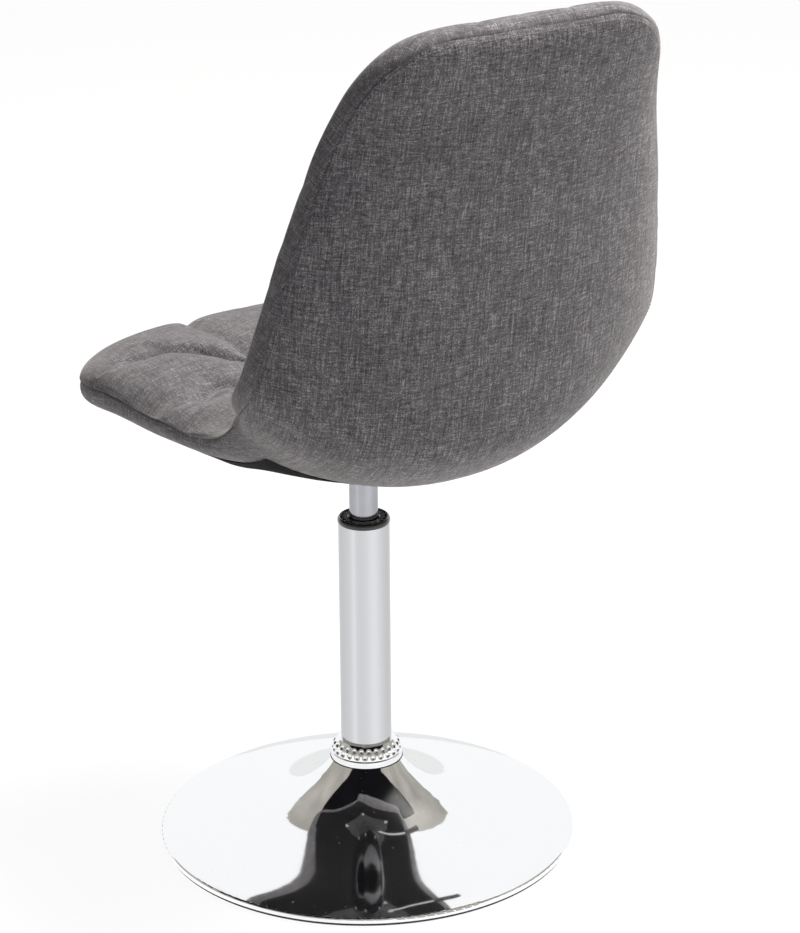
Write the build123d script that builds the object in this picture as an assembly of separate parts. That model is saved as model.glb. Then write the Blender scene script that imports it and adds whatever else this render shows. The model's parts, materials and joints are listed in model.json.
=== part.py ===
"""Swivel dining chair: upholstered bucket shell on a gas-lift column and a trumpet base.

Frame: origin on the floor at the centre of the base, +Z up, the sitter faces -Y,
so the backrest leans towards +Y and the sitter's left hand is at +X.  Millimetres.
"""
import math
import os

from build123d import *

os.makedirs("parts", exist_ok=True)

# ---------------------------------------------------------------- base
BASE_R = 205.5            # outer radius of the trumpet dish
BASE_WALL = 2.0           # sheet steel of the dish
RIM_Z = 3.2               # underside of the dish rim
PAD_R = 203.5             # floor pad, set back from the rim
PAD_T = 3.0
# outer profile of the dish as (radius, height), rim to neck
DISH_PROFILE = [
    (203.0, 8.2), (190.0, 12.0), (170.0, 16.8), (145.0, 22.3), (118.0, 29.1),
    (92.0, 37.7), (70.0, 48.5), (52.0, 62.5), (36.0, 81.0),
]
LIP_STRAIGHT = 2.6        # upright part of the rim, then a quarter round into the profile
LIP_ARC = 4.3
LIP_DRAW = 0.7
BALLAST_R = 165.0
BALLAST_BORE_R = 30.0
BALLAST_TOP = 9.8
FOOT_R = 56.0             # flange under the column
FOOT_T = 6.0
FOOT_BOLT_PCD_R = 42.0
FOOT_BOLT_R = 4.0
FOOT_BOLTS = 4
FOOT_HEAD_R = 6.5         # across the flats of the hexagon head, halved
FOOT_HEAD_H = 5.3
FOOT_WASHER_R = 8.0
WASHER_T = 1.6

# ---------------------------------------------------------------- column
TUBE_R = 25.0
TUBE_WALL = 1.5
TUBE_TOP = 330.5
PLUG_TOP = 30.0           # bearing seat inside the foot of the tube
COLLAR_LIP_R = 35.5
COLLAR_TOP_R = 28.0
COLLAR_Z = 81.0
COLLAR_LIP_H = 7.5
COLLAR_TOP = 102.0
DIMPLES = 26
DIMPLE_R = 3.1
# rows of dimples as (radius, height, shift along the row in dimple pitches)
DIMPLE_ROWS = [(34.6, 92.4, 0.0), (31.9, 98.2, 0.5)]
CAP_TOP = 336.6
CAP_SKIRT = 4.5           # how far the cap reaches down into the tube
CAP_SLOTS = 18
CAP_SLOT_R = 21.2
CAP_SLOT_W = 1.4
CAP_BRIDGE_W = 2.0
BUSH_BOTTOM = 205.0       # lower end of the plastic guide bush
BUSH_TOP_GAP = 5.0        # the bush stops this far under the tube's top

# ---------------------------------------------------------------- gas spring
RUN_FIT = 0.05            # radial clearance of sliding and turning fits
ROD_R = 5.0
ROD_NECK_R = 4.0
ROD_BOTTOM = 4.6
SHOULDER_R = 8.0
SHOULDER_H = 3.0
CLIP_R = 7.5
CLIP_T = 1.2
CLIP_Z = 6.4
RACE_R = 12.0
RACE_T = 1.5
BALL_R = 1.8
BALL_COUNT = 10
BALL_PCD_R = 8.6
BALL_Z = PLUG_TOP + RACE_T + RUN_FIT + BALL_R
CAGE_T = 1.4
UPPER_RACE_Z = BALL_Z + BALL_R + RUN_FIT
SHOULDER_Z = UPPER_RACE_Z + RACE_T
BUMPER_R = 11.0
BUMPER_H = 14.0
CYL_R = 14.0
CYL_WALL = 1.5
CYL_BOTTOM = 55.2
CYL_TOP = 394.0
TAPER_START = 366.0
TAPER_TOP_R = 13.0
CYL_HEAD_T = 8.0          # solid top of the cylinder, under the start of its taper
GLAND_H = 14.0
PISTON_Z = 200.0
PISTON_H = 12.0
SEAL_Z = PISTON_Z + 4
SEAL_H = 4.0
SEAL_DEPTH = 2.2
PIN_R = 3.0
PIN_TOP = 398.2
PIN_LENGTH = 22.0
PIN_TRAVEL = 4.0

# ---------------------------------------------------------------- seat mechanism
PLATE_TOP = 413.0
PLATE_T = 3.0
PLATE_X = 150.0
PLATE_Y = 124.0
PLATE_CORNER_R = 12.0
PLATE_BOLT_X = 66.0
PLATE_BOLT_Y = 52.0
PLATE_BOLT_R = 3.0
PLATE_HEAD_R = 5.0
PLATE_HEAD_H = 4.0
PLATE_WASHER_R = 6.5
SPACER_R = 10.0
BOX_TOP_X = 116.0         # folded housing under the plate, its ends sloping in towards the floor
BOX_FLOOR_X = 76.0
BOX_Y = 50.0
BOX_WALL = 2.5
BOX_BOTTOM = 388.0
SLOT_X = 53.0             # window for the lever in the housing's sloping end
SLOT_LENGTH = 24.0
SLOT_HEIGHT = 19.0
HUB_BOTTOM = 377.0
HUB_TOP = 392.5
HUB_R = 19.5
HUB_CHAMFER = 1.5
PIVOT_X = -30.0
PIVOT_R = 2.5
BOSS_R = 4.7
BOSS_LENGTH = 12.0
LEVER_R = 3.5
LEVER_Z = 402.0
LEVER_DROP = 12.0
LEVER_BEND_FROM = 64.0    # the bar bends down between these two distances from the column axis
LEVER_BEND_TO = 88.0
LEVER_BEND_R = 10.0
LEVER_REACH = 205.0       # how far the grip's end stands out to the sitter's right
GRIP_LENGTH = 62.0
GRIP_WIDTH = 18.2
GRIP_HEIGHT = 10.5
GRIP_EDGE_R = 4.5
GRIP_END = 4.0            # plastic beyond the end of the bar

# ---------------------------------------------------------------- upholstered shell
# Stations along the middle of the shell, from the seat's front edge to the top of the back:
# (y, z, half width, how far the edges rise towards the sitter, thickness)
STATIONS = [
    (-256, 443, 205, -1, 60),
    (-151, 453, 198, 0, 62),
    (-53, 445, 195, 11, 53),
    (50, 442, 189, 25, 44),
    (138, 440, 193, 75, 43),
    (189, 480, 215, 81, 45),
    (203, 546, 219, 52, 46),
    (223, 683, 197, 32, 44),
    (243, 783, 172, 23, 43),
    (268, 882, 145, -2, 42),
]
FRONT_CORNER_R = 93.0     # corner rounding of the outline, seat front
TOP_CORNER_R = 67.0       # corner rounding of the outline, top of the back
CORNER_POWER = 2.3
DISH_POWER = 2.2          # how the edges' rise grows with the share of the half width
EDGE_POWER_X = 0.42       # roundness of the edge, across and through the shell
EDGE_POWER_N = 0.62
PANEL_SHARE = 0.9         # the panels meet the rounded edge at this share of the half width
ROUND_SHARE = 0.965       # halfway round the edge
# section planes turn from upright over the seat to square with the back
SEAT_TURN = 90.0
BACK_TURN = 166.0
TURN_FROM = 140.0
TURN_TO = 690.0
SKIN = 16.0               # quilted cover: thickness over the foam
RIM_SKIN = 15.0           # quilted cover: thickness round the edge of the shell
REAR_T = 2.5
CORE_T = 10.0
CORE_INSET = 3.0
END_INSET = 16.0          # the cover is this thick at the front edge and at the top
BEYOND_EDGE = 6.0         # cutting shapes stand this far outside the shell
BELOW_SHELL = 8.0
GAP = 0.3
# edge seam: share of the half thickness in front of the middle of the edge, round the seat and up the back
SEAM_SEAT = 0.18
SEAM_BACK = -0.45
SEAM_TURN_FROM = 330.0
SEAM_TURN_TO = 500.0
LONG_SEAM = 0.31          # long quilting seams, as a share of the half width
SEAM_DEPTH = 8.0
SEAM_HALF_W = 9.0
SEAM_CUT_OVER = 9.0       # how far the channel's cutter stands over the surface
# cross seams: distance along the shell at each of these shares of the half width, middle to side
SEAM_SHARES = (0.0, LONG_SEAM, 0.7, 0.86)
CROSS_SEAMS = [
    (182, 168, 98, 94),
    (240, 222, 196, 217),
    (452, 440, 432, 428),
    (560, 545, 528, 520),
    (667, 650, 628, 618),
    (772, 755, 731, 720),
]
DUST_INSET = 23.0
DUST_T = 1.6
DUST_FROM = 48.0
DUST_TO = 372.0
DUST_FOLD = 12.0          # width of the turned-in hem
DUST_SAG = 4.0            # how far the cloth hangs off the cover next to its hem
DUST_SAG_MIDDLE = 1.2
DUST_HOLE_R = 10.5
TEE_BOTTOM = 425.0
TEE_TOP = 437.5
TEE_R = 4.0
TEE_FLANGE_R = 9.0
TEE_FLANGE_T = 1.2


def ring(r_out, r_in, z0, z1):
    """A plain round washer, tube or disc on the column axis."""
    body = Pos(0, 0, z0) * Cylinder(r_out, z1 - z0, align=(Align.CENTER, Align.CENTER, Align.MIN))
    if r_in > 0:
        bore = Pos(0, 0, z0 - 1) * Cylinder(r_in, z1 - z0 + 2, align=(Align.CENTER, Align.CENTER, Align.MIN))
        body = body - bore
    return body


def rod(x, y, z0, z1, r):
    """A vertical cylinder."""
    return Pos(x, y, z0) * Cylinder(r, z1 - z0, align=(Align.CENTER, Align.CENTER, Align.MIN))


def turned(edges):
    """Revolve a closed outline in the XZ plane about the column axis."""
    return revolve(make_face(edges), Axis.Z, 360)


def polygon(points):
    """Closed outline of straight lines in the XZ plane, points as (radius, height)."""
    corners = [(r, 0, z) for r, z in points]
    return [Line(a, b) for a, b in zip(corners, corners[1:] + corners[:1])]


def on_circle(count, r):
    """Places spaced evenly on a circle round the column axis."""
    return [(r * math.cos(2 * math.pi * i / count), r * math.sin(2 * math.pi * i / count)) for i in range(count)]


# ---------------------------------------------------------------- base pieces
def base_dish():
    rim_out = (BASE_R, 0, RIM_Z)
    outer = [(r, 0, z) for r, z in DISH_PROFILE]
    inner = [(r - BASE_WALL * 0.6, 0, z - BASE_WALL) for r, z in DISH_PROFILE]
    lip_top = (BASE_R, 0, RIM_Z + LIP_STRAIGHT)
    lip_middle = (BASE_R - LIP_DRAW, 0, RIM_Z + LIP_ARC)
    rim_in = (BASE_R - BASE_WALL, 0, RIM_Z)
    edges = [
        Line(rim_out, lip_top),
        ThreePointArc(lip_top, lip_middle, outer[0]),
        Spline(*outer),
        Line(outer[-1], inner[-1]),
        Spline(*reversed(inner)),
        Line(inner[0], rim_in),
        Line(rim_in, rim_out),
    ]
    return turned(edges)


def floor_pad():
    return ring(PAD_R, 0, 0, PAD_T)


def ballast_disc():
    disc = ring(BALLAST_R, BALLAST_BORE_R, RIM_Z, BALLAST_TOP)
    for x, y in on_circle(FOOT_BOLTS, FOOT_BOLT_PCD_R):
        disc -= rod(x, y, RIM_Z - 1, BALLAST_TOP + 1, FOOT_BOLT_R)
    return disc


def column_foot():
    foot_top = BALLAST_TOP + FOOT_T
    foot = ring(FOOT_R, 0, BALLAST_TOP, foot_top)
    foot += ring(TUBE_R - TUBE_WALL, 0, foot_top, PLUG_TOP)
    foot -= rod(0, 0, 0, PLUG_TOP + 1, ROD_NECK_R + RUN_FIT)
    for x, y in on_circle(FOOT_BOLTS, FOOT_BOLT_PCD_R):
        foot -= rod(x, y, BALLAST_TOP - 1, foot_top + 1, FOOT_BOLT_R)
    return foot


def foot_bolts():
    top = BALLAST_TOP + FOOT_T + WASHER_T
    bolts = []
    for x, y in on_circle(FOOT_BOLTS, FOOT_BOLT_PCD_R):
        shank = rod(x, y, RIM_Z + 0.6, top, FOOT_BOLT_R)
        head = Pos(x, y, top) * extrude(RegularPolygon(FOOT_HEAD_R, 6, major_radius=False), FOOT_HEAD_H)
        bolts.append(shank + head)
    return Compound(bolts)


def foot_washers():
    z = BALLAST_TOP + FOOT_T
    rings = []
    for x, y in on_circle(FOOT_BOLTS, FOOT_BOLT_PCD_R):
        rings.append(rod(x, y, z, z + WASHER_T, FOOT_WASHER_R) - rod(x, y, z - 1, z + 3, FOOT_BOLT_R))
    return Compound(rings)


# ---------------------------------------------------------------- column pieces
def column_tube():
    return ring(TUBE_R, TUBE_R - TUBE_WALL, BALLAST_TOP + FOOT_T, TUBE_TOP)


def column_collar():
    lip_top = COLLAR_Z + COLLAR_LIP_H
    bore = TUBE_R
    belly = ((COLLAR_LIP_R + COLLAR_TOP_R) / 2 + 0.8, 0, (lip_top + COLLAR_TOP) / 2 + 0.4)
    outline = [
        Line((bore, 0, COLLAR_Z), (COLLAR_LIP_R - 1.2, 0, COLLAR_Z)),
        ThreePointArc((COLLAR_LIP_R - 1.2, 0, COLLAR_Z), (COLLAR_LIP_R - 0.3, 0, COLLAR_Z + 0.4),
                      (COLLAR_LIP_R, 0, COLLAR_Z + 1.4)),
        Line((COLLAR_LIP_R, 0, COLLAR_Z + 1.4), (COLLAR_LIP_R, 0, lip_top - 1.4)),
        ThreePointArc((COLLAR_LIP_R, 0, lip_top - 1.4), (COLLAR_LIP_R - 0.5, 0, lip_top - 0.4),
                      (COLLAR_LIP_R - 1.4, 0, lip_top)),
        ThreePointArc((COLLAR_LIP_R - 1.4, 0, lip_top), belly, (COLLAR_TOP_R, 0, COLLAR_TOP)),
        Line((COLLAR_TOP_R, 0, COLLAR_TOP), (bore, 0, COLLAR_TOP)),
        Line((bore, 0, COLLAR_TOP), (bore, 0, COLLAR_Z)),
    ]
    collar = turned(outline)
    dents = []
    for r, z, shift in DIMPLE_ROWS:
        for i in range(DIMPLES):
            turn = 2 * math.pi * (i + shift) / DIMPLES
            dents.append(Pos(r * math.cos(turn), r * math.sin(turn), z) * Sphere(DIMPLE_R))
    return collar - dents


def guide_bush():
    return ring(TUBE_R - TUBE_WALL - RUN_FIT, CYL_R + RUN_FIT, BUSH_BOTTOM, TUBE_TOP - BUSH_TOP_GAP)


def tube_cap():
    inner = CYL_R + 0.35
    skirt = TUBE_R - TUBE_WALL
    skirt_z = TUBE_TOP - CAP_SKIRT
    flat_z = CAP_TOP - 0.6
    outline = [
        Line((skirt, 0, skirt_z), (skirt, 0, TUBE_TOP)),
        Line((skirt, 0, TUBE_TOP), (TUBE_R, 0, TUBE_TOP)),
        ThreePointArc((TUBE_R, 0, TUBE_TOP), (TUBE_R + 0.6, 0, TUBE_TOP + 2.6), (TUBE_R - 1.2, 0, CAP_TOP - 0.2)),
        Line((TUBE_R - 1.2, 0, CAP_TOP - 0.2), (TUBE_R - 1.8, 0, flat_z)),
        Line((TUBE_R - 1.8, 0, flat_z), (inner + 1.6, 0, flat_z)),
        Line((inner + 1.6, 0, flat_z), (inner, 0, flat_z - 1.6)),
        Line((inner, 0, flat_z - 1.6), (inner, 0, skirt_z)),
        Line((inner, 0, skirt_z), (skirt, 0, skirt_z)),
    ]
    cap = turned(outline)
    groove = ring(CAP_SLOT_R + CAP_SLOT_W / 2, CAP_SLOT_R - CAP_SLOT_W / 2, flat_z - 1.2, CAP_TOP + 1)
    bridges = []
    for i in range(CAP_SLOTS):
        turn = 360 * i / CAP_SLOTS
        bridges.append(Rot(0, 0, turn) * Pos(CAP_SLOT_R, 0, CAP_TOP) * Box(5, CAP_BRIDGE_W, 6))
    return cap - (groove - bridges)


# ---------------------------------------------------------------- bearing and gas spring
def lower_race():
    return ring(RACE_R, ROD_NECK_R + 0.4, PLUG_TOP, PLUG_TOP + RACE_T)


def bearing_balls():
    return Compound([Pos(x, y, BALL_Z) * Sphere(BALL_R) for x, y in on_circle(BALL_COUNT, BALL_PCD_R)])


def ball_cage():
    cage = ring(RACE_R - 0.4, ROD_NECK_R + 0.6, BALL_Z - CAGE_T / 2, BALL_Z + CAGE_T / 2)
    for x, y in on_circle(BALL_COUNT, BALL_PCD_R):
        cage -= rod(x, y, BALL_Z - BALL_R, BALL_Z + BALL_R, BALL_R + 0.1)
    return cage


def upper_race():
    return ring(RACE_R, ROD_NECK_R, UPPER_RACE_Z, SHOULDER_Z)


def piston_rod():
    neck = rod(0, 0, ROD_BOTTOM, SHOULDER_Z, ROD_NECK_R)
    groove = ring(ROD_NECK_R + 1, ROD_NECK_R - 1, CLIP_Z, CLIP_Z + CLIP_T)
    shoulder = rod(0, 0, SHOULDER_Z, SHOULDER_Z + SHOULDER_H, SHOULDER_R)
    shaft = rod(0, 0, SHOULDER_Z + SHOULDER_H, PISTON_Z + PISTON_H + 3, ROD_R)
    piston_seat = ring(ROD_R + 1, ROD_R - 1, PISTON_Z, PISTON_Z + PISTON_H + 4)
    return neck - groove + shoulder + shaft - piston_seat


def retaining_washer():
    return ring(CLIP_R + 2, ROD_NECK_R, CLIP_Z + CLIP_T, BALLAST_TOP - GAP)


def retaining_clip():
    """Open spring ring in the rod's groove."""
    clip = ring(CLIP_R, ROD_NECK_R - 1, CLIP_Z, CLIP_Z + CLIP_T)
    return clip - Pos(CLIP_R - 1.5, 0, CLIP_Z) * Box(CLIP_R + 1.5, ROD_NECK_R, 4)


def rod_bumper():
    z = SHOULDER_Z + SHOULDER_H
    return ring(BUMPER_R, ROD_R, z, z + BUMPER_H)


def piston():
    bore = CYL_R - CYL_WALL
    body = ring(bore - RUN_FIT, ROD_R - 1, PISTON_Z, PISTON_Z + PISTON_H)
    return body - ring(CYL_R, bore - SEAL_DEPTH, SEAL_Z, SEAL_Z + SEAL_H)


def piston_seal():
    bore = CYL_R - CYL_WALL
    return ring(bore - RUN_FIT, bore - SEAL_DEPTH, SEAL_Z, SEAL_Z + SEAL_H)


def rod_gland():
    return ring(CYL_R - CYL_WALL, ROD_R + RUN_FIT, CYL_BOTTOM, CYL_BOTTOM + GLAND_H)


def gas_cylinder():
    bore = CYL_R - CYL_WALL
    head = TAPER_START - CYL_HEAD_T
    outline = polygon([
        (0, head), (bore, head), (bore, CYL_BOTTOM), (CYL_R, CYL_BOTTOM),
        (CYL_R, TAPER_START), (TAPER_TOP_R, CYL_TOP), (0, CYL_TOP),
    ])
    body = turned(outline)
    return body - rod(0, 0, PIN_TOP - PIN_LENGTH - PIN_TRAVEL, CYL_TOP + 1, PIN_R + RUN_FIT)


def release_pin():
    return rod(0, 0, PIN_TOP - PIN_LENGTH, PIN_TOP, PIN_R)


# ---------------------------------------------------------------- seat mechanism
def taper_hub():
    slope = (CYL_R - TAPER_TOP_R) / (CYL_TOP - TAPER_START)
    bore_low = CYL_R - slope * (HUB_BOTTOM - TAPER_START)
    bore_top = CYL_R - slope * (HUB_TOP - TAPER_START)
    return turned(polygon([
        (bore_low, HUB_BOTTOM), (HUB_R - HUB_CHAMFER, HUB_BOTTOM), (HUB_R, HUB_BOTTOM + HUB_CHAMFER),
        (HUB_R, HUB_TOP), (bore_top, HUB_TOP),
    ]))


def box_block(inset):
    """Solid trapezium under the plate, drawn in by this much on its sides, ends and floor."""
    top = PLATE_TOP - PLATE_T
    half_floor = BOX_FLOOR_X / 2 - inset
    half_top = BOX_TOP_X / 2 - inset
    low = BOX_BOTTOM + inset
    face = make_face(polygon([(-half_floor, low), (half_floor, low), (half_top, top), (-half_top, top)]))
    return extrude(face, BOX_Y / 2 - inset, both=True)


def across(x, z, r, length):
    """A cylinder lying front to back."""
    return Pos(x, 0, z) * Rot(90, 0, 0) * Cylinder(r, length)


def box_housing():
    shell = box_block(0) - box_block(BOX_WALL)
    shell -= rod(0, 0, BOX_BOTTOM - 1, BOX_BOTTOM + BOX_WALL + 1, HUB_R)
    shell -= Pos(-SLOT_X, 0, LEVER_Z + 1) * Box(SLOT_LENGTH, 2 * LEVER_R + 2, SLOT_HEIGHT)
    return shell - across(PIVOT_X, LEVER_Z, PIVOT_R, BOX_Y + 10)


def pivot_pin():
    return across(PIVOT_X, LEVER_Z, PIVOT_R, BOX_Y + 1)


def lever_rod():
    """Round bar: a tongue over the release pin, a boss round the pivot, then a gentle drop out to the side."""
    low = LEVER_Z - LEVER_DROP
    path = FilletPolyline(
        (2 * PIN_R, 0, LEVER_Z), (-LEVER_BEND_FROM, 0, LEVER_Z), (-LEVER_BEND_TO, 0, low),
        (GRIP_END - LEVER_REACH, 0, low), radius=LEVER_BEND_R)
    start = Plane(origin=path @ 0, z_dir=path % 0)
    bar = sweep(start * Circle(LEVER_R), path=path)
    bar = bar + across(PIVOT_X, LEVER_Z, BOSS_R, BOSS_LENGTH)
    return bar - across(PIVOT_X, LEVER_Z, PIVOT_R + RUN_FIT, BOX_Y)


def lever_grip():
    """Flat plastic paddle pushed over the end of the bar."""
    z = LEVER_Z - LEVER_DROP
    paddle = Pos(GRIP_LENGTH / 2 - LEVER_REACH, 0, z) * Box(GRIP_LENGTH, GRIP_WIDTH, GRIP_HEIGHT)
    paddle = fillet(paddle.edges(), GRIP_EDGE_R)
    from_end = (Align.CENTER, Align.CENTER, Align.MIN)
    bore = Pos(GRIP_END - LEVER_REACH, 0, z) * Rot(0, 90, 0) * Cylinder(LEVER_R, GRIP_LENGTH, align=from_end)
    return paddle - bore


def plate_places():
    return [(x, y) for x in (-PLATE_BOLT_X, PLATE_BOLT_X) for y in (-PLATE_BOLT_Y, PLATE_BOLT_Y)]


def mount_plate():
    plate = Pos(0, 0, PLATE_TOP - PLATE_T / 2) * Box(PLATE_X, PLATE_Y, PLATE_T)
    plate = fillet(plate.edges().filter_by(Axis.Z), PLATE_CORNER_R)
    for x, y in plate_places():
        plate -= rod(x, y, PLATE_TOP - PLATE_T - 1, PLATE_TOP + 1, PLATE_BOLT_R + 0.2)
    return plate


def plate_bolts():
    top = PLATE_TOP - PLATE_T - WASHER_T
    bolts = []
    for x, y in plate_places():
        head = Pos(x, y, top - PLATE_HEAD_H) * extrude(RegularPolygon(PLATE_HEAD_R, 6, major_radius=False), PLATE_HEAD_H)
        bolts.append(head + rod(x, y, top, TEE_TOP - 1, PLATE_BOLT_R))
    return Compound(bolts)


def plate_washers():
    z = PLATE_TOP - PLATE_T - WASHER_T
    rings = []
    for x, y in plate_places():
        rings.append(rod(x, y, z, z + WASHER_T, PLATE_WASHER_R) - rod(x, y, z - 1, z + 3, PLATE_BOLT_R))
    return Compound(rings)


def tee_nuts():
    nuts = []
    for x, y in plate_places():
        nut = rod(x, y, TEE_BOTTOM, TEE_TOP, TEE_R) + rod(x, y, TEE_TOP, TEE_TOP + TEE_FLANGE_T, TEE_FLANGE_R)
        nuts.append(nut - rod(x, y, TEE_BOTTOM - 1, TEE_TOP + 2, PLATE_BOLT_R))
    return Compound(nuts)


# ---------------------------------------------------------------- shell geometry
def chord_lengths():
    total = [0.0]
    for a, b in zip(STATIONS, STATIONS[1:]):
        total.append(total[-1] + math.hypot(b[0] - a[0], b[1] - a[1]))
    return total


CHORDS = chord_lengths()
LENGTH = CHORDS[-1]


def along(s, column):
    """Smooth cubic curve through one column of the stations, at distance s along the shell."""
    last = len(CHORDS) - 1
    i = 0
    while i < last - 1 and s > CHORDS[i + 1]:
        i += 1
    values = [row[column] for row in STATIONS]

    def slope(k):
        low, high = max(k - 1, 0), min(k + 1, last)
        return (values[high] - values[low]) / (CHORDS[high] - CHORDS[low])

    span = CHORDS[i + 1] - CHORDS[i]
    t = (s - CHORDS[i]) / span
    return ((2 * t**3 - 3 * t**2 + 1) * values[i] + (t**3 - 2 * t**2 + t) * span * slope(i)
            + (3 * t**2 - 2 * t**3) * values[i + 1] + (t**3 - t**2) * span * slope(i + 1))


def ramp(s, start, end):
    k = min(max((s - start) / (end - start), 0.0), 1.0)
    return k * k * (3 - 2 * k)


def corner_cut(distance, radius):
    """How much the outline draws in, this far from the end of the shell."""
    k = min(max(1 - distance / radius, 0.0), 1.0)
    return radius * (1 - (1 - k**CORNER_POWER) ** (1 / CORNER_POWER))


def edge_height(share):
    """Height of the padding over the shell's middle layer, as a share of the half thickness."""
    return (1 - min(share, 1.0) ** (2 / EDGE_POWER_X)) ** (EDGE_POWER_N / 2)


class Section:
    """Cross-section plane of the shell: x to the side, n towards the sitter."""

    def __init__(self, s):
        self.y = along(s, 0)
        self.z = along(s, 1)
        turn = math.radians(SEAT_TURN + (BACK_TURN - SEAT_TURN) * ramp(s, TURN_FROM, TURN_TO))
        self.ny = math.cos(turn)
        self.nz = math.sin(turn)
        full = along(s, 2)
        self.w = min(full - corner_cut(s, FRONT_CORNER_R), full - corner_cut(LENGTH - s, TOP_CORNER_R))
        self.c = along(s, 3)
        half = along(s, 4) / 2
        front = max(1 - s / half, 0.0)
        top = max(1 - (LENGTH - s) / half, 0.0)
        self.h = half * math.sqrt(1 - max(front, top) ** 2)
        self.seam = self.h * (SEAM_SEAT + (SEAM_BACK - SEAM_SEAT) * ramp(s, SEAM_TURN_FROM, SEAM_TURN_TO))
        self.groove = SEAM_DEPTH * ramp(self.h / half, 0.3, 0.95)

    def at(self, x, n):
        return Vector(x, self.y + self.ny * n, self.z + self.nz * n)

    def dish(self, x):
        return self.c * (abs(x) / self.w) ** DISH_POWER

    def front(self, x):
        """Front surface without its quilting."""
        return self.dish(x) + self.h * edge_height(abs(x) / self.w)

    def rear(self, x):
        """Rear surface: a circle through the middle and both ends of the panel."""
        reach = PANEL_SHARE * self.w
        rise = self.h * (1 - edge_height(PANEL_SHARE)) + self.dish(reach)
        radius = (reach**2 + rise**2) / (2 * rise)
        return -self.h + radius - math.sqrt(radius**2 - x**2)


def closed_wire(section, corners):
    """Wire through corners given as (x, n), where a third point between two corners makes an arc.

    corners is a list of ((x, n), None) for a line to the next corner or ((x, n), (x, n)) for an arc."""
    edges = []
    for i, (start, middle) in enumerate(corners):
        end = corners[(i + 1) % len(corners)][0]
        if middle is None:
            edges.append(Edge.make_line(section.at(*start), section.at(*end)))
        else:
            edges.append(Edge.make_three_point_arc(section.at(*start), section.at(*middle), section.at(*end)))
    return Wire(edges)


def skinned(distances, outline):
    """Smooth solid through the outlines at these distances along the shell."""
    wires = [closed_wire(sec, outline(sec)) for sec in (Section(s) for s in distances)]
    return Solid.make_loft(wires)


MIDDLE = [56, 85, 120, 160, 200, 240, 280, 318, 352, 382, 410, 440, 472, 510, 555, 605, 660, 712]
OUTER_STEPS = [1, 4, 10, 20, 34] + MIDDLE + [LENGTH - d for d in (100, 68, 45, 28, 16, 8, 3.5, 1)]


def inner_steps(front, top):
    return [front, 34] + MIDDLE + [LENGTH - 100, LENGTH - 68, LENGTH - 45, LENGTH - 28, LENGTH - top]


def envelope_outline(sec):
    """Whole padded shell: rounded edges, three crowned panels in front with two long channels."""
    corner = PANEL_SHARE * sec.w
    high = sec.front(corner)
    low = 2 * sec.dish(corner) - high
    turn = ROUND_SHARE * sec.w
    turn_high = sec.front(turn)
    turn_low = 2 * sec.dish(turn) - turn_high
    seam = LONG_SEAM * sec.w
    seam_n = sec.front(seam) - sec.groove
    panel = (seam + corner) / 2
    panel_n = sec.front(panel)
    return [
        ((-corner, low), (0, -sec.h)),
        ((corner, low), (turn, turn_low)),
        ((sec.w, sec.c), (turn, turn_high)),
        ((corner, high), (panel, panel_n)),
        ((seam, seam_n), (0, sec.h)),
        ((-seam, seam_n), (-panel, panel_n)),
        ((-corner, high), (-turn, turn_high)),
        ((-sec.w, sec.c), (-turn, turn_low)),
    ]


def pocket_outline(sec):
    """What the quilted cover wraps: everything behind its lining and behind the edge seam."""
    side = sec.w - RIM_SKIN
    wide = sec.w + BEYOND_EDGE
    below = -sec.h - BELOW_SHELL
    top = sec.h - SKIN
    side_seam = sec.dish(side) + sec.seam
    wide_seam = sec.dish(wide) + sec.seam
    return [
        ((-wide, below + sec.c), (0, below)),
        ((wide, below + sec.c), None),
        ((wide, wide_seam), None),
        ((side, side_seam), None),
        ((side, top + sec.dish(side)), (0, top)),
        ((-side, top + sec.dish(side)), None),
        ((-side, side_seam), None),
        ((-wide, wide_seam), None),
    ]


def rear_outline(sec):
    """Rear panel: a thin skin over the back and the underside, up to the edge seam."""
    side = sec.w - RIM_SKIN + GAP
    wide = sec.w + BEYOND_EDGE
    below = -sec.h - BELOW_SHELL
    side_seam = sec.dish(side) + sec.seam - GAP
    wide_seam = sec.dish(wide) + sec.seam - GAP
    lining = sec.rear(side) + REAR_T
    return [
        ((-wide, below + sec.c), (0, below)),
        ((wide, below + sec.c), None),
        ((wide, wide_seam), None),
        ((side, side_seam), None),
        ((side, lining), (0, REAR_T - sec.h)),
        ((-side, lining), None),
        ((-side, side_seam), None),
        ((-wide, wide_seam), None),
    ]


def core_outline(sec):
    """Plywood shell: a layer of even thickness on the rear cover."""
    side = sec.w - RIM_SKIN - CORE_INSET
    low = REAR_T + GAP
    high = low + CORE_T
    return [
        ((-side, sec.rear(side) + low), (0, low - sec.h)),
        ((side, sec.rear(side) + low), None),
        ((side, sec.rear(side) + high), (0, high - sec.h)),
        ((-side, sec.rear(side) + high), None),
    ]


def foam_outline(sec):
    """Foam between the plywood and the quilted cover's lining."""
    side = sec.w - RIM_SKIN - GAP
    low = REAR_T + CORE_T + 2 * GAP
    top = sec.h - SKIN - GAP
    return [
        ((-side, sec.rear(side) + low), (0, low - sec.h)),
        ((side, sec.rear(side) + low), None),
        ((side, top + sec.dish(side)), (0, top)),
        ((-side, top + sec.dish(side)), None),
    ]


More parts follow.
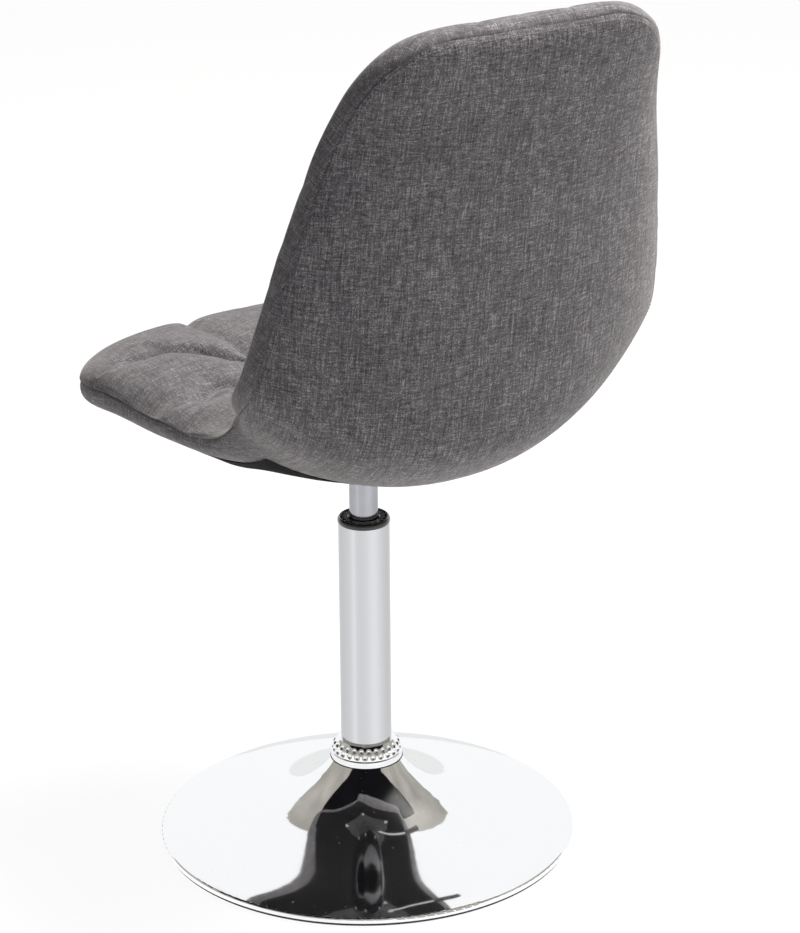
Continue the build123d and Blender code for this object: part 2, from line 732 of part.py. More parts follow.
def dust_outline(sec):
    """Thin cloth under the seat, tight along its hem and hanging a little between."""
    side = sec.w - DUST_INSET
    fold = side - DUST_FOLD
    lean = ramp(sec.h, 15, 24)
    sag = DUST_SAG * lean
    middle = -sec.h - GAP - DUST_SAG_MIDDLE * lean
    fold_n = sec.rear(fold) - GAP - sag
    side_n = sec.rear(side) - GAP
    return [
        ((-side, side_n - DUST_T), None),
        ((-fold, fold_n - DUST_T), (0, middle - DUST_T)),
        ((fold, fold_n - DUST_T), None),
        ((side, side_n - DUST_T), None),
        ((side, side_n), None),
        ((fold, fold_n), (0, middle)),
        ((-fold, fold_n), None),
        ((-side, side_n), None),
    ]


def surface_point(s, x_share):
    sec = Section(s)
    x = x_share * sec.w
    return sec.at(x, sec.front(x))


def surface_normal(s, x_share):
    step_s = surface_point(s + 3, x_share) - surface_point(s - 3, x_share)
    step_x = surface_point(s, x_share + 0.02) - surface_point(s, x_share - 0.02)
    return step_x.cross(step_s).normalized()


def seam_cutter(start, end, pieces=2):
    """V-shaped channel between two places on the front surface, each (distance, share of half width)."""
    wires = []
    path = []
    for i in range(pieces + 1):
        t = i / pieces
        s = start[0] + (end[0] - start[0]) * t
        share = start[1] + (end[1] - start[1]) * t
        path.append((surface_point(s, share), surface_normal(s, share)))
    spread = SEAM_HALF_W * (SEAM_CUT_OVER + SEAM_DEPTH) / SEAM_DEPTH
    heading = (path[-1][0] - path[0][0]).normalized()
    for point, normal in path:
        sideways = heading.cross(normal).normalized()
        tip = point - normal * SEAM_DEPTH
        left = point + normal * SEAM_CUT_OVER + sideways * spread
        right = point + normal * SEAM_CUT_OVER - sideways * spread
        wires.append(Wire([Edge.make_line(tip, left), Edge.make_line(left, right), Edge.make_line(right, tip)]))
    return Solid.make_loft(wires, ruled=True)


def seam_cutters():
    cutters = []
    for seam in CROSS_SEAMS:
        for hand in (-1, 1):
            places = [(s, share * hand) for s, share in zip(seam, SEAM_SHARES)]
            cutters += [seam_cutter(start, end) for start, end in zip(places, places[1:])]
    return cutters


def shell_pieces():
    envelope = skinned(OUTER_STEPS, envelope_outline)
    pocket = skinned(inner_steps(END_INSET, END_INSET), pocket_outline)
    cover = envelope - pocket
    cover = (cover - seam_cutters()).solids().sort_by(SortBy.VOLUME)[-1]

    rear_zone = skinned(inner_steps(END_INSET + GAP, END_INSET + GAP), rear_outline)
    rear_cover = envelope & rear_zone

    core = skinned(inner_steps(END_INSET + CORE_INSET, END_INSET + CORE_INSET), core_outline)
    foam = skinned(inner_steps(END_INSET + 2 * GAP, END_INSET + 2 * GAP), foam_outline)
    dust_cover = skinned([DUST_FROM] + [s for s in MIDDLE if DUST_FROM < s < DUST_TO] + [DUST_TO], dust_outline)

    spacers = []
    above = TEE_TOP + 20
    for x, y in plate_places():
        core = core - rod(x, y, PLATE_TOP, above, TEE_R) - rod(x, y, TEE_TOP - 0.1, above, TEE_FLANGE_R)
        foam = foam - rod(x, y, PLATE_TOP, TEE_TOP + TEE_FLANGE_T + GAP, TEE_FLANGE_R + GAP)
        rear_cover = rear_cover - rod(x, y, PLATE_TOP, TEE_TOP, TEE_R)
        dust_cover = dust_cover - rod(x, y, PLATE_TOP - 10, TEE_TOP, DUST_HOLE_R)
        bore = rod(x, y, PLATE_TOP - 1, TEE_TOP + 1, PLATE_BOLT_R + 0.2)
        trimmed = rod(x, y, PLATE_TOP, TEE_TOP, SPACER_R) - bore - envelope
        spacers.append(trimmed.solids().sort_by(Axis.Z)[0])
    return {
        "quilted_cover": cover,
        "rear_cover": rear_cover,
        "shell_core": core,
        "foam_pad": foam,
        "dust_cover": dust_cover,
        "plate_spacers": Compound(spacers),
    }


def all_pieces():
    makers = [
        base_dish, floor_pad, ballast_disc, column_foot, foot_bolts, foot_washers, column_tube, column_collar,
        guide_bush, tube_cap, lower_race, bearing_balls, ball_cage, upper_race, piston_rod, retaining_washer,
        retaining_clip, rod_bumper, piston, piston_seal, rod_gland, gas_cylinder, release_pin, taper_hub,
        box_housing, pivot_pin, lever_rod, lever_grip, mount_plate, plate_bolts, plate_washers, tee_nuts,
    ]
    pieces = {maker.__name__: maker() for maker in makers}
    pieces.update(shell_pieces())
    return pieces


for name, shape in all_pieces().items():
    export_step(shape, f"parts/{name}.step")
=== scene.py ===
import json
import math

import bpy
import numpy as np
from mathutils import Matrix, Vector

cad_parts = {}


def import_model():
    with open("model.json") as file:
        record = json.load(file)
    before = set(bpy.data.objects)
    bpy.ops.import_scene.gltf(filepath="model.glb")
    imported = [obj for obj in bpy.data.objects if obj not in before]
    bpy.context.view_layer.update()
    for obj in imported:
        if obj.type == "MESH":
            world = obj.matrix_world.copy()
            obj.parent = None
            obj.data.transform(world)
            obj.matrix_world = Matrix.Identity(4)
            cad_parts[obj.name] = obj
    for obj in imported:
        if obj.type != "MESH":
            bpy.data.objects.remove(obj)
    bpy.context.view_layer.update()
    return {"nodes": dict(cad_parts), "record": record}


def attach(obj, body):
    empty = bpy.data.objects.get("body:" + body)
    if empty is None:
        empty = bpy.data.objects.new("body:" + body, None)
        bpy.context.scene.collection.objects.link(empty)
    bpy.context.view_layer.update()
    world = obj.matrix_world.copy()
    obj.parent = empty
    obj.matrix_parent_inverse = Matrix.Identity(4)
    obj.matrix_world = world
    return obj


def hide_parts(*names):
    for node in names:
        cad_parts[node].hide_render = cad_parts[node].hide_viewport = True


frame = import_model()
scene = bpy.context.scene
MM = 0.001

# ---------------------------------------------------------------- form of the shell, in millimetres
# (y, z, half width, how far the edges rise towards the sitter, thickness), seat front to top of back
STATIONS = np.array([
    (-256, 443, 205, -1, 60),
    (-151, 453, 198, 0, 62),
    (-53, 445, 195, 11, 53),
    (50, 442, 189, 25, 44),
    (138, 440, 193, 75, 43),
    (189, 480, 215, 81, 45),
    (203, 546, 219, 52, 46),
    (223, 683, 197, 32, 44),
    (243, 783, 172, 23, 43),
    (268, 882, 145, -2, 42),
], float)
CHORDS = np.concatenate([[0.0], np.cumsum(np.hypot(np.diff(STATIONS[:, 0]), np.diff(STATIONS[:, 1])))])
LENGTH = CHORDS[-1]
FRONT_CORNER_R = 93.0
TOP_CORNER_R = 67.0
CORNER_POWER = 2.3
DISH_POWER = 2.2
SEAT_TURN, BACK_TURN = 90.0, 166.0
TURN_FROM, TURN_TO = 140.0, 690.0
EDGE_POWER_X, EDGE_POWER_N = 0.42, 0.62
SEAT_POWER_X, SEAT_POWER_N, SEAT_CROWN = 0.6, 0.9, 1.22     # the seat's upper side is more domed
# edge seam: share of the half thickness in front of the middle of the edge, round the seat and up the back
SEAM_SEAT, SEAM_BACK = 0.18, -0.45
SEAM_TURN_FROM, SEAM_TURN_TO = 330.0, 500.0
SEAM_WAY_IN = 4.4         # how far in from the outline the seam lies up the back
LONG_SEAM = 0.345
# cross seams: distance along the shell at each of these shares of the half width, middle to side
SEAM_SHARES = (0.0, LONG_SEAM, 0.7, 0.86)
CROSS_SEAMS = [
    (182, 168, 98, 94),
    (240, 222, 196, 217),
    (452, 440, 432, 428),
    (560, 545, 528, 520),
    (667, 650, 628, 618),
    (772, 755, 731, 720),
]
RIM = 15.0                # width of the rounded edge strip, measured in from the outline


def along(s, column):
    """Smooth cubic curve through one column of the stations."""
    s = np.asarray(s, float)
    values = STATIONS[:, column]
    last = len(CHORDS) - 1
    i = np.clip(np.searchsorted(CHORDS, s, side="right") - 1, 0, last - 1)
    low, high = np.maximum(np.arange(last + 1) - 1, 0), np.minimum(np.arange(last + 1) + 1, last)
    slope = (values[high] - values[low]) / (CHORDS[high] - CHORDS[low])
    span = CHORDS[i + 1] - CHORDS[i]
    t = (s - CHORDS[i]) / span
    return ((2 * t**3 - 3 * t**2 + 1) * values[i] + (t**3 - 2 * t**2 + t) * span * slope[i]
            + (3 * t**2 - 2 * t**3) * values[i + 1] + (t**3 - t**2) * span * slope[i + 1])


def ramp(v, start, end):
    k = np.clip((np.asarray(v, float) - start) / (end - start), 0, 1)
    return k * k * (3 - 2 * k)


def corner_cut(distance, radius):
    k = np.clip(1 - distance / radius, 0, 1)
    return radius * (1 - (1 - k**CORNER_POWER) ** (1 / CORNER_POWER))


def width(s):
    full = along(s, 2)
    return np.minimum(full - corner_cut(s, FRONT_CORNER_R), full - corner_cut(LENGTH - s, TOP_CORNER_R))


def half_thickness(s):
    half = along(s, 4) / 2
    front = np.clip(1 - s / half, 0, 1)
    top = np.clip(1 - (LENGTH - s) / half, 0, 1)
    return half * np.sqrt(1 - np.maximum(front, top) ** 2)


def depth_of(s, x, side):
    """Height n of the shell's surface over the section's base line; side is 1 in front and -1 behind."""
    share = np.clip(np.abs(x) / width(s), 0, 1)
    lift = (1 - share ** (2 / EDGE_POWER_X)) ** (EDGE_POWER_N / 2)
    dome = (1 - share ** (2 / SEAT_POWER_X)) ** (SEAT_POWER_N / 2)
    domed = np.where(np.asarray(side) > 0, 1 - ramp(s, 230, 400), 0)
    lift = lift + (SEAT_CROWN * dome - lift) * domed
    return side * lift * half_thickness(s) + along(s, 3) * share**DISH_POWER


def placed(s, x, n):
    """Point in the row frame, in metres."""
    turn = np.radians(SEAT_TURN + (BACK_TURN - SEAT_TURN) * ramp(s, TURN_FROM, TURN_TO))
    return np.stack([x, along(s, 0) + np.cos(turn) * n, along(s, 1) + np.sin(turn) * n], -1) * MM


def outline_curve():
    """Right half of the shell's outline as (s, x) every millimetre, with the inward direction."""
    fine = LENGTH * (1 - np.cos(np.linspace(0, math.pi, 4001))) / 2
    fine = np.concatenate([fine[:1], fine[1] * np.linspace(0, 1, 40)[1:] ** 3, fine[2:-2],
                           LENGTH - (LENGTH - fine[-2]) * np.linspace(1, 0, 40)[1:] ** 3])
    side = np.stack([fine, width(fine)], -1)
    front = np.stack([np.zeros(60), np.linspace(0, side[0, 1], 61)[:-1]], -1)
    top = np.stack([np.full(60, LENGTH), np.linspace(side[-1, 1], 0, 61)[1:]], -1)
    path = np.concatenate([front, side, top])
    step = np.concatenate([[0], np.cumsum(np.hypot(*np.diff(path, axis=0).T))])
    even = np.linspace(0, step[-1], int(step[-1]) + 1)
    path = np.stack([np.interp(even, step, path[:, k]) for k in (0, 1)], -1)
    tangent = np.gradient(path, axis=0)
    for _ in range(6):
        tangent[1:-1] = (tangent[:-2] + tangent[1:-1] * 2 + tangent[2:]) / 4
    tangent[0], tangent[-1] = (0, 1), (0, -1)
    tangent /= np.linalg.norm(tangent, axis=1)[:, None]
    inward = np.stack([tangent[:, 1], -tangent[:, 0]], -1)
    return path, inward


OUTLINE, INWARD = outline_curve()
INSET = OUTLINE + INWARD * RIM
# 0 along the front edge, 90 at the sides, 180 at the top
SLANT = np.degrees(np.arctan2(-INWARD[:, 1], INWARD[:, 0]))
FRONT_CORNER = int(np.argmax(SLANT > 45))
TOP_CORNER = int(np.argmax(SLANT > 135))
FRONT_EDGE = slice(0, FRONT_CORNER + 1)
SIDE_EDGE = slice(FRONT_CORNER, TOP_CORNER + 1)
TOP_EDGE = slice(TOP_CORNER, None)


def grid_faces(index):
    """Quads between neighbouring vertices of a grid."""
    return np.stack([index[:-1, :-1], index[:-1, 1:], index[1:, 1:], index[1:, :-1]], -1).reshape(-1, 4)


def grid_edge(index):
    """The grid's outer vertices, once round."""
    return np.concatenate([index[0, :-1], index[:-1, -1], index[-1, :0:-1], index[:0:-1, 0]])


def nearest_on_outline(s, x):
    """Number of the inset outline's point nearest to each (s, x)."""
    off = (INSET[:, 0][None] - s[:, None]) ** 2 + (INSET[:, 1][None] - np.abs(x)[:, None]) ** 2
    return np.argmin(off, axis=1)


def seam_inset(s):
    """Signed way in of the edge seam, positive on the sitter's side of the edge."""
    height = SEAM_SEAT + (SEAM_BACK - SEAM_SEAT) * ramp(s, SEAM_TURN_FROM, SEAM_TURN_TO)

    def way_in(share):
        return 1 - (1 - abs(share) ** (2 / EDGE_POWER_N)) ** (EDGE_POWER_X / 2)

    return np.sign(height) * SEAM_WAY_IN * way_in(height) / way_in(SEAM_BACK)


# ---------------------------------------------------------------- covers as structured meshes
def spread(count, start, end, both=True):
    """Steps from start to end, closer together near the ends (or near start only)."""
    t = np.linspace(0, 1, count + 1)
    eased = (1 - np.cos(math.pi * t)) / 2 if both else 1 - np.cos(math.pi * t / 2)
    return start + (end - start) * (0.5 * t + 0.5 * eased)


def sheet_grid(shares, strips, seams):
    """Grid of (s, x) inside the rim strip, its rows bending with the cross seams."""
    share = np.asarray(shares)
    reach_front, reach_top = INSET[FRONT_CORNER, 1], INSET[TOP_CORNER, 1]
    first = np.interp(np.abs(share) * reach_front, INSET[FRONT_EDGE, 1], INSET[FRONT_EDGE, 0])
    final = np.interp(np.abs(share) * reach_top, INSET[TOP_EDGE, 1][::-1], INSET[TOP_EDGE, 0][::-1])
    knots = [first] + [np.interp(np.abs(share), SEAM_SHARES, seam) for seam in seams] + [final]
    rows, seam_rows = [knots[0]], []
    for low, high, count in zip(knots, knots[1:], strips):
        for t in spread(count, 0, 1)[1:]:
            rows.append(low + (high - low) * t)
        seam_rows.append(len(rows) - 1)
    s = np.array(rows)
    edge = s[:, -1]
    reach = np.interp(edge, INSET[SIDE_EDGE, 0], INSET[SIDE_EDGE, 1])
    return s, reach[:, None] * share[None, :], seam_rows[:-1]


class Cover:
    """Sheet over one side of the shell: a grid, a rounded rim strip and a tucked-in seam edge."""

    def __init__(self, side, shares, strips, seams, rim_steps, edge_pull):
        self.side = side
        s, x, self.seam_rows = sheet_grid(shares, strips, seams)
        self.rows, self.cols = s.shape
        n = depth_of(s, x, side)
        points = [placed(s, x, n).reshape(-1, 3)]
        du = np.hypot(np.diff(x, axis=1), np.diff(n, axis=1))
        u = np.concatenate([np.zeros((self.rows, 1)), np.cumsum(du, axis=1)], axis=1)
        u -= u[:, self.cols // 2][:, None]
        uv = [np.stack([u, s], -1).reshape(-1, 2)]
        index = np.arange(self.rows * self.cols).reshape(self.rows, self.cols)
        faces = [grid_faces(index)]
        loop = grid_edge(index)
        ls, lx = s.reshape(-1)[loop], x.reshape(-1)[loop]
        inward = INWARD[nearest_on_outline(ls, lx)].copy()
        inward[:, 1] *= np.where(lx < 0, -1, 1)
        rim_s, rim_x = ls - inward[:, 0] * RIM, lx - inward[:, 1] * RIM
        # where the sheet ends, measured in from the outline; negative where it wraps past the edge
        stop = side * seam_inset(ls)
        short, past = np.maximum(stop, 0), np.maximum(-stop, 0)
        turn_at = 1 - 0.3 * np.clip(past / SEAM_WAY_IN, 0, 1)
        self.loops = [loop]
        last_uv = uv[0][loop]
        last_point = points[0][loop]
        count = len(points[0])
        for e in rim_steps:
            lead = np.clip(1 - e / turn_at, 0, 1)
            tail = np.clip((e - turn_at) / np.maximum(1 - turn_at, 1e-6), 0, 1) * (past > 0)
            g = short + (RIM - short) * lead**2.2 - past * tail**1.6
            d = np.abs(g)
            hand = np.where(g >= 0, side, -side)
            ps, px = rim_s + inward[:, 0] * d, rim_x + inward[:, 1] * d
            ps = np.clip(ps, 0, LENGTH)
            here = placed(ps, px, depth_of(ps, px, hand))
            step = np.linalg.norm(here - last_point, axis=1) / MM
            last_uv = last_uv - inward[:, ::-1] * step[:, None]
            last_point = here
            points.append(here)
            uv.append(last_uv)
            ring = count + np.arange(len(loop))
            faces.append(self.strip(self.loops[-1], ring))
            self.loops.append(ring)
            count += len(loop)
        self.seam_loop = self.loops[-1]
        ps, px = rim_s + inward[:, 0] * np.abs(stop), rim_x + inward[:, 1] * np.abs(stop)
        ps = np.clip(ps, 0, LENGTH)
        seam_n = depth_of(ps, px, np.where(stop >= 0, side, -side))
        for tuck in (3.0, 6.5):
            ts, tx = ps + inward[:, 0] * tuck, px + inward[:, 1] * tuck
            here = placed(np.clip(ts, 0, LENGTH), tx, seam_n)
            points.append(here)
            uv.append(last_uv - inward[:, ::-1] * tuck)
            ring = count + np.arange(len(loop))
            faces.append(self.strip(self.loops[-1], ring))
            self.loops.append(ring)
            count += len(loop)
        self.co = np.concatenate(points)
        self.uv = np.concatenate(uv)
        self.faces = np.concatenate(faces)
        if side < 0:
            self.faces = self.faces[:, ::-1]
        pull = self.co[self.loops[-2]] - self.co[self.seam_loop]
        pull /= np.linalg.norm(pull, axis=1)[:, None]
        self.co[self.seam_loop] += pull * edge_pull * MM
        self.s, self.x, self.index = s, x, index

    @staticmethod
    def strip(a, b):
        return np.stack([a, b, np.roll(b, -1), np.roll(a, -1)], -1)

    def normals(self):
        """Outward direction at every vertex."""
        a, b, c, d = (self.co[self.faces[:, k]] for k in range(4))
        face = np.cross(c - a, d - b)
        total = np.zeros_like(self.co)
        for k in range(4):
            np.add.at(total, self.faces[:, k], face)
        total /= np.maximum(np.linalg.norm(total, axis=1), 1e-12)[:, None]
        return total


def mesh_object(name, co, faces, uv=None):
    mesh = bpy.data.meshes.new(name)
    mesh.from_pydata([tuple(p) for p in co], [], [tuple(int(i) for i in f) for f in faces])
    mesh.update()
    if uv is not None:
        layer = mesh.uv_layers.new(name="cloth")
        corner = np.zeros(len(mesh.loops), np.int32)
        mesh.loops.foreach_get("vertex_index", corner)
        layer.data.foreach_set("uv", (uv[corner] * MM).astype(np.float32).ravel())
    obj = bpy.data.objects.new(name, mesh)
    scene.collection.objects.link(obj)
    for p in mesh.polygons:
        p.use_smooth = True
    return obj


def inflate(obj, pins, pressure, cap, growth, frames=20):
    """Cloth simulation: pressure pushes the sheet out between its pinned seams, then the result is kept."""
    group = obj.vertex_groups.new(name="pins")
    group.add([int(i) for i in pins], 1.0, "REPLACE")
    cloth = obj.modifiers.new("cloth", "CLOTH")
    put = cloth.settings
    put.vertex_group_mass = "pins"
    put.quality = 7
    put.mass = 0.25
    put.tension_stiffness = put.compression_stiffness = 25
    put.shear_stiffness = 12
    put.bending_stiffness = 0.8
    put.tension_damping = put.compression_damping = 15
    put.shear_damping = 15
    put.air_damping = 3
    put.use_pressure = True
    put.uniform_pressure_force = pressure
    put.shrink_min = -growth
    put.effector_weights.gravity = 0
    cloth.collision_settings.use_collision = False
    cloth.point_cache.frame_start = 1
    cloth.point_cache.frame_end = frames
    for f in range(1, frames + 1):
        scene.frame_set(f)
    evaluated = obj.evaluated_get(bpy.context.evaluated_depsgraph_get())
    count = len(obj.data.vertices)
    after, before = np.zeros(count * 3), np.zeros(count * 3)
    evaluated.data.vertices.foreach_get("co", after)
    obj.data.vertices.foreach_get("co", before)
    after, before = after.reshape(-1, 3), before.reshape(-1, 3)
    obj.modifiers.remove(cloth)
    scene.frame_set(1)
    move = after - before
    size = np.linalg.norm(move, axis=1)
    move *= np.minimum(1, np.broadcast_to(cap, count) * MM / np.maximum(size, 1e-9))[:, None]
    obj.data.vertices.foreach_set("co", (before + move).ravel())
    obj.data.update()
    obj.vertex_groups.remove(group)


def subdivide(obj, levels=1):
    """Adds the subdivision and keeps its result."""
    mod = obj.modifiers.new("smooth", "SUBSURF")
    mod.levels = mod.render_levels = levels
    mod.boundary_smooth = "PRESERVE_CORNERS"
    evaluated = obj.evaluated_get(bpy.context.evaluated_depsgraph_get())
    mesh = bpy.data.meshes.new_from_object(evaluated)
    obj.modifiers.clear()
    old = obj.data
    obj.data = mesh
    bpy.data.meshes.remove(old)
    for p in mesh.polygons:
        p.use_smooth = True


# ---------------------------------------------------------------- materials
class Look:
    """Short way to write a node material."""

    def __init__(self, name):
        self.material = bpy.data.materials.new(name)
        self.material.use_nodes = True
        self.tree = self.material.node_tree
        self.shader = self.tree.nodes["Principled BSDF"]

    def node(self, kind, inputs=(), **settings):
        made = self.tree.nodes.new(kind)
        for key, value in settings.items():
            setattr(made, key, value)
        for key, value in dict(inputs).items():
            self.put(made.inputs[key], value)
        return made

    def put(self, socket, value):
        if isinstance(value, bpy.types.NodeSocket):
            self.tree.links.new(value, socket)
        else:
            socket.default_value = value

    def sum(self, operation, a, b=0.0, c=0.0, clamp=False):
        made = self.node("ShaderNodeMath", operation=operation, use_clamp=clamp)
        for i, value in enumerate((a, b, c)):
            self.put(made.inputs[i], value)
        return made.outputs[0]

    def at(self, kind="Object", scale=(1, 1, 1)):
        """Coordinates in millimetres, stretched by scale."""
        source = self.node("ShaderNodeTexCoord").outputs[kind]
        grown = self.node("ShaderNodeVectorMath", operation="MULTIPLY")
        self.put(grown.inputs[0], source)
        grown.inputs[1].default_value = tuple(1000.0 * k for k in scale)
        return grown.outputs[0]

    def noise(self, where, scale, detail=3.0, rough=0.5, distort=0.0):
        made = self.node("ShaderNodeTexNoise", {"Vector": where, "Scale": scale, "Detail": detail,
                                                "Roughness": rough, "Distortion": distort})
        return made.outputs["Fac"]

    def ramp(self, fac, *stops):
        made = self.node("ShaderNodeValToRGB", {"Fac": fac})
        marks = made.color_ramp.elements
        while len(marks) < len(stops):
            marks.new(0.5)
        for mark, (place, colour) in zip(marks, stops):
            mark.position = place
            mark.color = (*colour, 1) if hasattr(colour, "__len__") else (colour, colour, colour, 1)
        return made.outputs["Color"]

    def mix(self, fac, a, b):
        made = self.node("ShaderNodeMix", data_type="RGBA")
        for key, value in ((0, fac), (6, a), (7, b)):
            if key and not isinstance(value, bpy.types.NodeSocket):
                value = (*value, 1)
            self.put(made.inputs[key], value)
        return made.outputs[2]

    def range(self, value, low, high, to_low, to_high):
        made = self.node("ShaderNodeMapRange", {"Value": value, "From Min": low, "From Max": high,
                                                "To Min": to_low, "To Max": to_high})
        return made.outputs["Result"]

    def bump(self, height, distance, strength=1.0):
        made = self.node("ShaderNodeBump", {"Height": height, "Distance": distance * MM,
                                            "Strength": strength})
        self.tree.links.new(made.outputs["Normal"], self.shader.inputs["Normal"])

    def set(self, **values):
        names = {"colour": "Base Color", "rough": "Roughness", "metal": "Metallic", "sheen": "Sheen Weight",
                 "sheen_rough": "Sheen Roughness", "sheen_tint": "Sheen Tint", "coat": "Coat Weight",
                 "coat_rough": "Coat Roughness", "glow": "Emission Strength",
                 "specular": "Specular IOR Level"}
        for key, value in values.items():
            if key in ("colour", "sheen_tint") and not isinstance(value, bpy.types.NodeSocket):
                value = (*value, 1)
            self.put(self.shader.inputs[names[key]], value)
        return self.material


def linen(name, dark, mid, light, span, flip=False):
    """Plain-weave melange linen: each thread has its own run of tones, and the two sets cross; painted shade
    darkens the hollows between threads and the thread that passes under.
    """
    look = Look(name)
    parts = look.node("ShaderNodeSeparateXYZ")
    look.put(parts.inputs[0], look.at("UV"))
    u, v = (parts.outputs[1], parts.outputs[0]) if flip else (parts.outputs[0], parts.outputs[1])
    joined = look.node("ShaderNodeCombineXYZ", {"X": u, "Y": v}).outputs[0]
    drift = look.noise(joined, 0.012, 1.0)
    u = look.sum("MULTIPLY_ADD", drift, 5.0, u)
    v = look.sum("MULTIPLY_ADD", drift, -5.0, v)

    def threads(across, along, pitch, length, seed):
        """Tone of each thread: a separate slow run of tones for every thread, and its rounded body, which also
        sets the painted shade between threads.
        """
        place = look.sum("DIVIDE", across, pitch)
        thread = look.sum("FLOOR", place)
        own = look.sum("MULTIPLY", thread, 7.31)
        run = look.sum("DIVIDE", along, length)
        where = look.node("ShaderNodeCombineXYZ", {"X": own, "Y": run, "Z": seed}).outputs[0]
        tone = look.noise(where, 1.0, 1.5, 0.6)
        round_body = look.sum("SINE", look.sum("MULTIPLY", look.sum("FRACT", place), math.pi))
        return thread, tone, round_body

    warp_id, warp_tone, warp_body = threads(u, v, 0.9, 11.0, 3.1)
    weft_id, weft_tone, weft_body = threads(v, u, 0.9, 16.0, 8.7)
    slub_tone = threads(v, u, 1.3, 30.0, 5.3)[1]
    slub_up_tone = threads(u, v, 1.3, 22.0, 1.9)[1]
    parity = look.sum("FRACT", look.sum("MULTIPLY", look.sum("ADD", warp_id, weft_id), 0.5))
    warp_top = look.range(parity, 0.2, 0.3, 0.0, 1.0)
    cell = look.node("ShaderNodeCombineXYZ", {"X": warp_id, "Y": weft_id}).outputs[0]
    fleck = look.node("ShaderNodeTexWhiteNoise", {"Vector": cell}, noise_dimensions="2D").outputs["Value"]
    cloud = look.noise(joined, 0.02, 3.0)
    shade = look.sum("MULTIPLY", look.sum("ADD", warp_tone, weft_tone), 0.5)
    shade = look.sum("MULTIPLY_ADD", look.sum("ADD", slub_tone, slub_up_tone), 0.27, shade)
    shade = look.sum("MULTIPLY_ADD", fleck, 0.26, shade)
    shade = look.sum("MULTIPLY_ADD", cloud, 0.1, shade)
    spread_shade = look.range(shade, 1.0 - span, 1.0 + span, 0.0, 1.0)
    colour = look.ramp(spread_shade, (0.1, dark), (0.5, mid), (0.9, light))
    body = look.sum("MAXIMUM", look.sum("MULTIPLY", warp_body, look.range(warp_top, 0, 1, 0.5, 1.0)),
                    look.sum("MULTIPLY", weft_body, look.range(warp_top, 0, 1, 1.0, 0.5)))
    # painted shade: darker in the hollows between the rounded threads and on the thread that runs under
    weave_shade = look.range(body, 0.1, 0.7, 0.6, 1.0)
    shaded = look.node("ShaderNodeMix", data_type="RGBA", blend_type="MULTIPLY")
    shaded.inputs[0].default_value = 1.0
    look.put(shaded.inputs[6], colour)
    grey = look.node("ShaderNodeCombineColor", {"Red": weave_shade, "Green": weave_shade, "Blue": weave_shade})
    look.put(shaded.inputs[7], grey.outputs[0])
    look.bump(look.sum("MULTIPLY_ADD", shade, 0.8, look.sum("MULTIPLY", body, 0.6)), 0.35, 0.5)
    rough = look.range(shade, 0.7, 1.3, 0.95, 0.82)
    return look.set(colour=shaded.outputs[2], rough=rough, sheen=0.3, sheen_rough=0.45,
                    sheen_tint=(0.75, 0.73, 0.7), specular=0.3)


def chrome(name, tint=(0.93, 0.94, 0.95), rough=0.045, dust=0.5):
    """Polished plate: slight waviness, hairline polishing marks and a few specks of dust."""
    look = Look(name)
    where = look.at()
    wave = look.noise(where, 0.008, 1.0)
    fine = look.noise(look.at(scale=(1, 1, 0.25)), 1.3, 4.0, 0.7)
    specks = look.range(look.noise(where, 0.55, 1.0, 0.4), 0.77, 0.8, 0.0, dust)
    look.bump(look.sum("ADD", wave, look.sum("MULTIPLY", fine, 0.002)), 0.25, 0.35)
    colour = look.mix(specks, tint, (0.62, 0.6, 0.57))
    polish = look.range(fine, 0.3, 0.7, rough * 0.7, rough * 1.5)
    return look.set(colour=colour, metal=1.0, rough=look.sum("ADD", polish, look.sum("MULTIPLY", specks, 0.5)))


def steel(name, colour, rough=0.3, grain=(1, 1, 0.05), tone=0.12, bump=0.05):
    """Drawn, turned or rolled metal with its working marks running one way."""
    look = Look(name)
    marks = look.noise(look.at(scale=grain), 2.2, 5.0, 0.65)
    cloud = look.noise(look.at(), 0.03, 3.0)
    low = tuple(c * (1 - tone) for c in colour)
    high = tuple(min(1, c * (1 + tone)) for c in colour)
    shade = look.sum("ADD", look.sum("MULTIPLY", marks, 0.6), look.sum("MULTIPLY", cloud, 0.4))
    look.bump(marks, bump, 0.6)
    return look.set(colour=look.ramp(shade, (0.3, low), (0.7, high)), metal=1.0,
                    rough=look.range(shade, 0.3, 0.7, rough * 0.75, rough * 1.35))


def plastic(name, colour, rough=0.35, grain=0.06, scale=1.6, coat=0.0):
    """Moulded plastic or rubber: fine grain, scuffed slightly paler on the high spots."""
    look = Look(name)
    where = look.at()
    fine = look.noise(where, scale, 4.0, 0.6)
    cloud = look.noise(where, 0.05, 3.0)
    scuff = look.range(look.noise(look.at(scale=(1, 0.15, 1)), 0.4, 5.0, 0.7), 0.6, 0.75, 0.0, 0.25)
    pale = tuple(min(1, c * 1.6 + 0.02) for c in colour)
    base = look.ramp(look.sum("ADD", look.sum("MULTIPLY", fine, 0.5), look.sum("MULTIPLY", cloud, 0.5)),
                     (0.3, tuple(c * 0.85 for c in colour)), (0.7, tuple(c * 1.15 for c in colour)))
    look.bump(fine, grain, 0.7)
    look.set(coat=coat, coat_rough=0.08)
    return look.set(colour=look.mix(scuff, base, pale),
                    rough=look.range(cloud, 0.3, 0.7, rough * 0.85, rough * 1.2))


def painted(name, colour, rough=0.4):
    """Powder-coated steel with orange peel and rubbed, brighter spots."""
    look = Look(name)
    where = look.at()
    peel = look.noise(where, 0.9, 2.0)
    worn = look.range(look.noise(where, 0.09, 6.0, 0.72), 0.66, 0.72, 0.0, 0.8)
    look.bump(peel, 0.12, 0.5)
    bright = tuple(c * 2.2 + 0.02 for c in colour)
    return look.set(colour=look.mix(worn, colour, bright),
                    rough=look.range(peel, 0.3, 0.7, rough * 0.8, rough * 1.25))


